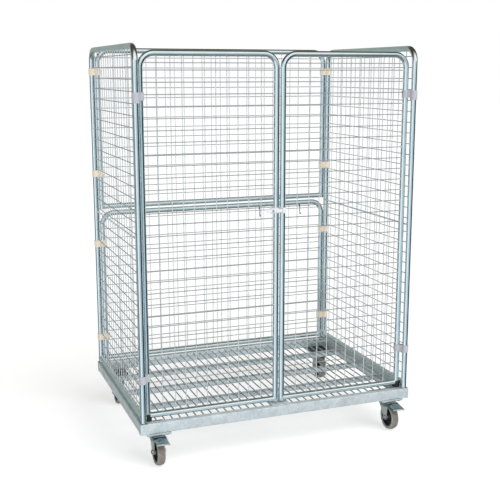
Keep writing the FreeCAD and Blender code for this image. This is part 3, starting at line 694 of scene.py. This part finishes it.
def seam(shape, run, side, along, outer, inward):
    """Weld round three sides of a beam's end: over its top, down its outer face and under it.

    along says where the beam ends, outer where the post's outer face is, and inward is the sign
    of the way in from there.
    """
    face = outer + inward * SEAM_INSET
    other = outer + inward * (POST_SIDE - SEAM_INSET)
    low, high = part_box("corner_posts")
    top, bottom = high.z - SEAM_INSET, low.z + SEAM_INSET
    turns = [run * along + side * spot + Z * up
             for spot, up in ((other, top), (face, top), (face, bottom), (other, bottom))]
    path = []
    for start, end in zip(turns, turns[1:]):
        path += [start.lerp(end, k / SEAM_STEPS) for k in range(SEAM_STEPS)]
    path.append(turns[-1])
    sweep(shape, path, SEAM_R, BEAD_SIDES, ripple=rippled(0.12, 2.1))


def seam_beads():
    """Weld seams where two beams meet each corner post."""
    shape = Shape()
    low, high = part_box("corner_posts")
    for x, x_inward in ((low.x, 1), (high.x, -1)):
        for y, y_inward in ((low.y, 1), (high.y, -1)):
            seam(shape, X, Y, x + x_inward * POST_SIDE, y, y_inward)
            seam(shape, Y, X, y + y_inward * POST_SIDE, x, x_inward)
    shape.piece("corner_weld_seams", "zinc_beam", "frame")


base_beams()
seam_beads()
refined("corner_posts", 0.8 * MM, "corner_sockets")
# Painted shade: the pads' upward faces get the near-black zinc.
refined("castor_pads", 1.0 * MM, "castor_pad_plates", "pad_painted_shade")
refined("door_stop", 0.9 * MM, "door_stop_plate")


# ---- plastic parts, latch and hooks ----
for small, edge in (
    ("rear_clips", 1.2), ("left_door_clips", 1.2), ("right_door_clips", 1.2),
    ("leg_collars", 1.0), ("left_door_foot", 0.8), ("right_door_foot", 0.8),
    ("latch_bracket", 1.2), ("latch_keeper", 0.9), ("latch_lever", 1.0), ("latch_screw", 0.5),
):
    refined(small, edge * MM)
for hook in ("left_hook", "right_hook"):
    refined(hook, 0.0).data.materials[0] = MATERIALS["hook_wire"]


# ---- castors ----
CASTORS = ("front_left", "front_right", "rear_left", "rear_right")
HUB_R = 47 * MM
PIN_R = 3 * MM
# Turned shapes that close over their axis end this close to it.
POINT_R = 0.2 * MM


def joint_place(body):
    """Where the joint is that moves a body."""
    return next(joint["pos_m"] for joint in frame["joints"] if joint["child"] == body)


def mirrored(profile):
    """A profile's other half, on the far side of zero along the axis."""
    return [(radius, -along) for radius, along in reversed(profile)]


def tyre(name, centre, half, r, body):
    """Tyre with a rounded tread, a moulding line round its middle and paler, stepped walls."""
    shoulder_drop, shoulder_curve, moulding_line = 4.6 * MM, 2.6, 0.5 * MM
    half_tread, steps = 0.985 * half, 12
    crown = []
    for k in range(-steps, steps + 1):
        drop = shoulder_drop * abs(k / steps) ** shoulder_curve + moulding_line * (k != 0)
        crown.append((r - drop, half_tread * k / steps))
    wall = [(r - 8 * MM, half), (r - 9 * MM, half - 0.8 * MM), (HUB_R + 4 * MM, half - 0.8 * MM),
            (HUB_R + 1.5 * MM, half - 2.0 * MM), (HUB_R, half - 2.5 * MM)]
    wall_depth = 2.6 * MM
    shape = Shape()
    lathe(shape, mirrored(wall) + crown + wall, centre, X, sides=72)
    ring = shape.piece(f"{name}_tyre_ring", "tyre", body, f"{name}_tyre")
    ring.data.materials.append(MATERIALS["tyre_wall"])
    for polygon in ring.data.polygons:
        polygon.material_index = int(abs(polygon.center.x - centre.x) > half - wall_depth)


def hub(name, centre, half, body):
    """Dished black hub with ribs on both faces."""
    side = [(HUB_R, half - 3 * MM), (HUB_R - 2.5 * MM, half - 2.6 * MM),
            (HUB_R - 4.5 * MM, half - 4 * MM), (40 * MM, 5 * MM), (37 * MM, 4 * MM),
            (21 * MM, 4.5 * MM), (18 * MM, 7 * MM), (15.5 * MM, half - 2 * MM),
            (14 * MM, half), (5.05 * MM, half)]
    shape = Shape()
    lathe(shape, side + mirrored(side), centre, X, sides=64)
    ribs, rib_r = 8, 2.4 * MM
    rib_start, start_depth = 19 * MM, 7.5 * MM
    rib_end, end_depth = 41.5 * MM, 6.5 * MM
    for face in (-1, 1):
        for k in range(ribs):
            turn = 2 * math.pi * (k + 0.5) / ribs
            out = Vector((0, math.cos(turn), math.sin(turn)))
            start = centre + out * rib_start + X * face * start_depth
            end = centre + out * rib_end + X * face * end_depth
            sweep(shape, [start, start.lerp(end, 0.5), end], rib_r, sides=10)
    shape.piece(f"{name}_hub_disc", "hub_plastic", body, f"{name}_hub")


def bearing_caps(name, centre, half, body):
    """Pressed zinc cap over the bearing on each face of the wheel."""
    cap = [(6 * MM, half + 1.2 * MM), (9 * MM, half + 1.9 * MM), (12.5 * MM, half + 1.0 * MM),
           (16.5 * MM, half - 6 * MM), (15 * MM, half - 6.5 * MM), (6 * MM, half - 2 * MM)]
    shape = Shape()
    for face in (-1, 1):
        profile = [(radius, face * along) for radius, along in cap]
        lathe(shape, profile, centre, X, sides=40)
    shape.piece(f"{name}_bearing_caps", "castor_zinc", body)


def wheel(name):
    """A castor's wheel, in its CAD tyre's box: tyre, hub and bearing caps."""
    low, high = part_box(f"{name}_tyre")
    centre, half, r = (low + high) / 2, (high.x - low.x) / 2, (high.z - low.z) / 2
    body = BODY_OF[f"{name}_tyre"]
    tyre(name, centre, half, r, body)
    hub(name, centre, half, body)
    bearing_caps(name, centre, half, body)


def axle_ends(name):
    """Large washer and domed nut on each end of the axle bolt, outside the fork."""
    low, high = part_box(f"{name}_axle")
    head, thread_end = 6.5 * MM, 8 * MM
    y, z = (low.y + high.y) / 2, (low.z + high.z) / 2
    dome = [(POINT_R, 0), (12 * MM, 0), (12.4 * MM, 1.0 * MM), (11.5 * MM, 1.8 * MM),
            (9.8 * MM, 2.2 * MM), (9.4 * MM, 6.2 * MM), (7.6 * MM, 7.9 * MM), (5.0 * MM, 8.3 * MM),
            (4.4 * MM, 8.9 * MM), (POINT_R, 9.0 * MM)]
    shape = Shape()
    for x, sign in ((low.x + head, -1), (high.x - thread_end, 1)):
        lathe(shape, dome, (x, y, z), X * sign, sides=40)
    shape.piece(f"{name}_axle_nuts", "fastener_steel", BODY_OF[f"{name}_axle"])


def race(name):
    """Two pressed rings of the swivel head between the fork and the top plate."""
    body = BODY_OF[f"{name}_fork"]
    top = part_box(f"{name}_fork")[1].z
    axis_x, axis_y, _ = joint_place(body)
    ring_r = 1.7 * MM
    shape = Shape()
    for drop, reach in ((2.6 * MM, 35.6 * MM), (6.4 * MM, 34.4 * MM)):
        spots = arc((reach - ring_r, top - drop), ring_r, 0, 360, 16)[:-1]
        lathe(shape, spots, (axis_x, axis_y, 0), Z, sides=56)
    shape.piece(f"{name}_race_rings", "castor_zinc", body)


def flat_plate(shape, outline, start, end):
    """A flat plate with its outline in the YZ plane, from x = start to x = end."""
    count = len(outline)
    points = [Vector((x, *spot)) for x in (start, end) for spot in outline]
    faces = [tuple(range(count)), tuple(reversed(range(count, 2 * count)))]
    for j in range(count):
        n = (j + 1) % count
        faces.append((j, count + j, count + n, n))
    shape.add(points, faces)


# Brake pedal. The swivel axis stands behind the tread; heights are above the floor.
AXIS_INSET = 6 * MM
TREAD_REACH = 63.5 * MM
TREAD_TOP, LIP_TOP = 139 * MM, 131.5 * MM
TREAD_SKIN = 2.4 * MM
TREAD_ROWS, TREAD_COLUMNS = 44, 40
ARM_SKIN = 2.5 * MM
# Side view of an arm in millimetres: distance behind the swivel axis (ahead of it where
# negative) and height above the floor.
ARM_OUTLINE = ((6, 117), (6, 130), (-14, 135), (-60, 135), (-66, 137), (-84, 133), (-84, 130),
               (-66, 124), (-46, 117))


def corner_flare(u, v):
    """How far a spot of the tread belongs to the flared corner at the lip, from 0 to 1."""
    start = 0.55
    return (max(0.0, (u - start) / (1 - start)) * v) ** 2


def tread_dip(u, v):
    """How far the pressed tread lies below its straight slope at (u, v).

    u runs across the tread from -1 to 1, and v from its back edge at 0 to its lip at 1. An oval
    ridge runs round a sunk slot, and the lip rolls down.
    """
    middle_v = 0.47
    oval_u, oval_v, ridge_half, ridge_height = 0.64, 0.27, 0.24, 1.3 * MM
    slot_u, slot_v, slot_slope, slot_depth = 0.34, 0.07, 12, 2.0 * MM
    roll_start, roll_depth = 0.84, 5.5 * MM
    lip_start, flare_depth = 0.9, 3.5 * MM
    roll = roll_depth * max(0.0, (v - roll_start) / (1 - roll_start)) ** 2
    flare = flare_depth * corner_flare(u, v)
    off_ridge = (math.hypot(u / oval_u, (v - middle_v) / oval_v) - 1.0) / ridge_half
    beside_ridge = ridge_height * (1 - math.exp(-off_ridge ** 2)) * (v < lip_start)
    off_slot = max(abs(u) / slot_u, abs(v - middle_v) / slot_v) - 1.0
    slot = slot_depth / (1 + math.exp(slot_slope * off_slot))
    return roll + flare + beside_ridge + slot


def tread_sheet(shape, centre_x, wide, back, lip):
    """The tread as a closed skin: its top, its underside and the edge that joins them."""
    narrowed, widened = 3.5 * MM, 4 * MM
    points, faces = [], []
    for skin in (0, TREAD_SKIN):
        for i in range(TREAD_ROWS + 1):
            v = i / TREAD_ROWS
            for k in range(TREAD_COLUMNS + 1):
                u = 2 * k / TREAD_COLUMNS - 1
                x = centre_x + u * (wide / 2 - narrowed * v) + widened * corner_flare(u, v)
                y = back + (lip - back) * v
                z = TREAD_TOP + (LIP_TOP - TREAD_TOP) * v - tread_dip(u, v) - skin
                points.append(Vector((x, y, z)))
    stride = TREAD_COLUMNS + 1
    sheet = (TREAD_ROWS + 1) * stride
    for i in range(TREAD_ROWS):
        for k in range(TREAD_COLUMNS):
            a = i * stride + k
            faces.append((a, a + 1, a + stride + 1, a + stride))
            faces.append((sheet + a, sheet + a + stride, sheet + a + stride + 1, sheet + a + 1))
    border = list(range(stride))
    border += [i * stride + TREAD_COLUMNS for i in range(1, TREAD_ROWS + 1)]
    border += [TREAD_ROWS * stride + k for k in range(TREAD_COLUMNS - 1, -1, -1)]
    border += [i * stride for i in range(TREAD_ROWS - 1, 0, -1)]
    for a, b in zip(border, border[1:] + border[:1]):
        faces.append((a, sheet + a, sheet + b, b))
    shape.add(points, faces)


def tread(name):
    """Brake pedal: the pressed tread on two side arms, with its pins.

    The lip and the side that flares are painted in the paler castor zinc, a painted highlight where they catch the
    light; the rest is the darker pedal steel.
    """
    low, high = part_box(f"{name}_pedal")
    body = BODY_OF[f"{name}_pedal"]
    wide, centre_x = high.x - low.x, (low.x + high.x) / 2
    swivel_y = high.y - AXIS_INSET
    back, lip = swivel_y - TREAD_REACH, low.y
    shape = Shape()
    tread_sheet(shape, centre_x, wide, back, lip)
    outline = [(swivel_y + y * MM, z * MM) for y, z in ARM_OUTLINE]
    for start, end in ((low.x, low.x + ARM_SKIN), (high.x - ARM_SKIN, high.x)):
        flat_plate(shape, outline, start, end)
    thing = shape.piece(f"{name}_tread", "pedal_steel", body, f"{name}_pedal")
    thing.data.materials.append(MATERIALS["castor_zinc"])
    lip_depth, flare_start = 4.5 * MM, 0.42 * wide
    # Painted highlight: the lip and the flared side take the paler zinc.
    for polygon in thing.data.polygons:
        at_lip = polygon.center.y < lip + lip_depth
        at_flare = polygon.center.x > centre_x + flare_start and polygon.center.y < back
        polygon.material_index = int(at_lip or at_flare)
    pedal_pins(name, centre_x, wide / 2, back, body)


def pedal_pins(name, centre_x, half, back, body):
    """The pin that the pedal turns on, with a head at each end, and a rivet on the tread."""
    head = [(PIN_R, half), (4.6 * MM, half + 0.2 * MM), (3.8 * MM, half + 1.6 * MM),
            (POINT_R, half + 1.6 * MM)]
    rivet = [(POINT_R, 0), (4.6 * MM, 0), (3.8 * MM, 1.4 * MM), (POINT_R, 1.9 * MM)]
    rivet_inset, rivet_seat = 6 * MM, TREAD_TOP - 1.8 * MM
    _, pivot_y, pivot_z = joint_place(body)
    shape = Shape()
    lathe(shape, mirrored(head) + head, (centre_x, pivot_y, pivot_z), X, sides=24)
    lathe(shape, rivet, (centre_x - rivet_inset, back + rivet_inset, rivet_seat), Z, sides=24)
    shape.piece(f"{name}_pedal_pins", "fastener_steel", body)


for castor in CASTORS:
    wheel(castor)
    race(castor)
    refined(f"{castor}_fork", 0.8 * MM)
    refined(f"{castor}_axle", 0.5 * MM)
    axle_ends(castor)
    if castor.startswith("front"):
        tread(castor)
refined("castor_plates", 0.8 * MM)
refined("castor_bolts", 0.5 * MM)


# ---- studio ----
def bearing_stop(degrees, tone):
    """A ramp stop for a compass bearing: 0 towards -Y, 90 towards +X."""
    return degrees / 360 + 0.5, tone


BLACK, SLATE, SKY = (0.010, 0.022, 0.028), (0.14, 0.19, 0.21), (0.47, 0.62, 0.67)
MOSS, HAZE, PALE = (0.32, 0.38, 0.35), (0.70, 0.80, 0.84), (0.94, 0.98, 1.0)
OLIVE, UMBER, DUSK = (0.34, 0.36, 0.32), (0.07, 0.06, 0.04), (0.16, 0.18, 0.17)
WALL_STOPS = [bearing_stop(degrees, tone) for degrees, tone in (
    (-180, MOSS), (-140, MOSS), (-125, SLATE), (-94, SLATE), (-80, SKY), (-66, PALE),
    (-34, PALE), (-18, SKY), (22, SKY), (36, BLACK), (86, BLACK), (96, HAZE),
    (132, HAZE), (150, MOSS), (180, MOSS))]
# From the doors' side, at 0, to the rear wall's, at 1.
CEILING_STOPS = ((0.0, PALE), (0.16, PALE), (0.30, OLIVE), (0.42, UMBER), (0.80, UMBER),
                 (0.94, MOSS))


def studio_world():
    """White to the camera; in light and reflections, pale walls with darker openings."""
    world = bpy.data.worlds.new("studio")
    bpy.context.scene.world = world
    world.use_nodes = True
    tree = world.node_tree
    tree.nodes.clear()
    direction = node(tree, "ShaderNodeTexCoord").outputs["Generated"]
    parts = node(tree, "ShaderNodeSeparateXYZ", Vector=direction)

    def maths(operation, first, second):
        """Arithmetic on two terms, each a value or a socket."""
        made = tree.nodes.new("ShaderNodeMath")
        made.operation = operation
        for socket, value in zip(made.inputs, (first, second)):
            if isinstance(value, bpy.types.NodeSocket):
                tree.links.new(value, socket)
            else:
                socket.default_value = value
        return made.outputs[0]

    def from_zero(part):
        """A part of the direction, -1 to 1, moved to 0 to 1."""
        return maths("ADD", maths("MULTIPLY", part, 0.5), 0.5)

    ahead = maths("MULTIPLY", parts.outputs["Y"], -1.0)
    bearing = maths("ARCTAN2", parts.outputs["X"], ahead)
    around = maths("ADD", maths("DIVIDE", bearing, 2 * math.pi), 0.5)
    walls = ramp(tree, around, WALL_STOPS)
    ceiling = ramp(tree, from_zero(parts.outputs["Y"]), CEILING_STOPS)
    height = from_zero(parts.outputs["Z"])
    overhead = ramp(tree, height, ((0.52, 0.0), (0.58, 1.0)))
    underfoot = ramp(tree, height, ((0.12, 1.0), (0.26, 0.0)))
    room = mixed(tree, overhead, walls, ceiling)
    room = mixed(tree, underfoot, room, DUSK)
    seen = node(tree, "ShaderNodeBackground", Color=(1, 1, 1, 1), Strength=1.0)
    felt = node(tree, "ShaderNodeBackground", Color=room, Strength=1.0)
    ray = node(tree, "ShaderNodeLightPath").outputs["Is Camera Ray"]
    mix = tree.nodes.new("ShaderNodeMixShader")
    tree.links.new(ray, mix.inputs[0])
    tree.links.new(felt.outputs[0], mix.inputs[1])
    tree.links.new(seen.outputs[0], mix.inputs[2])
    out = tree.nodes.new("ShaderNodeOutputWorld")
    tree.links.new(mix.outputs[0], out.inputs["Surface"])


def soft_sun(name, bearing, height, strength, spread):
    """Even light from a compass bearing and height; a wide spread keeps its shadows soft.

    The metal mirrors the room, not the lamps, as it does between large soft boxes.
    """
    light = bpy.data.lights.new(name, "SUN")
    light.energy = strength
    light.angle = math.radians(spread)
    thing = bpy.data.objects.new(name, light)
    thing.visible_glossy = False
    turn, up = math.radians(bearing), math.radians(height)
    source = Vector((math.sin(turn) * math.cos(up), -math.cos(turn) * math.cos(up), math.sin(up)))
    thing.rotation_euler = (-source).to_track_quat("-Z", "Y").to_euler()
    bpy.context.scene.collection.objects.link(thing)


def pale_floor():
    """A wide floor that gives off a little light, so that it looks as white as the room."""
    mesh = bpy.data.meshes.new("floor")
    reach = 40.0
    mesh.from_pydata([(-reach, -reach, 0), (reach, -reach, 0), (reach, reach, 0),
                      (-reach, reach, 0)], [], [(0, 1, 2, 3)])
    thing = bpy.data.objects.new("floor", mesh)
    bpy.context.scene.collection.objects.link(thing)
    material, _, shader = surface("floor", 0.0, Roughness=0.9, Emission_Strength=0.56)
    shader.inputs["Base Color"].default_value = (0.62, 0.62, 0.62, 1)
    shader.inputs["Emission Color"].default_value = (1, 1, 1, 1)
    mesh.materials.append(material)
    thing.visible_glossy = False


def camera():
    """Stands left of the doors, a little below the object's top edge, looking slightly down.

    The lens and sensor are in millimetres, and the angles turn right and down from +Y.
    """
    data = bpy.data.cameras.new("camera")
    data.lens = 64.36
    data.sensor_width = 36.0
    data.dof.use_dof = False
    thing = bpy.data.objects.new("camera", data)
    thing.location = (-1.5257, -4.0607, 1.7225)
    turn, tilt = math.radians(20.71), math.radians(11.25)
    thing.rotation_euler = (math.pi / 2 - tilt, 0, -turn)
    bpy.context.scene.collection.objects.link(thing)
    bpy.context.scene.camera = thing


studio_world()
soft_sun("key", bearing=30, height=52, strength=1.9, spread=50)
soft_sun("fill", bearing=-60, height=40, strength=0.5, spread=60)
pale_floor()
camera()
bpy.context.scene.view_settings.view_transform = "Standard"
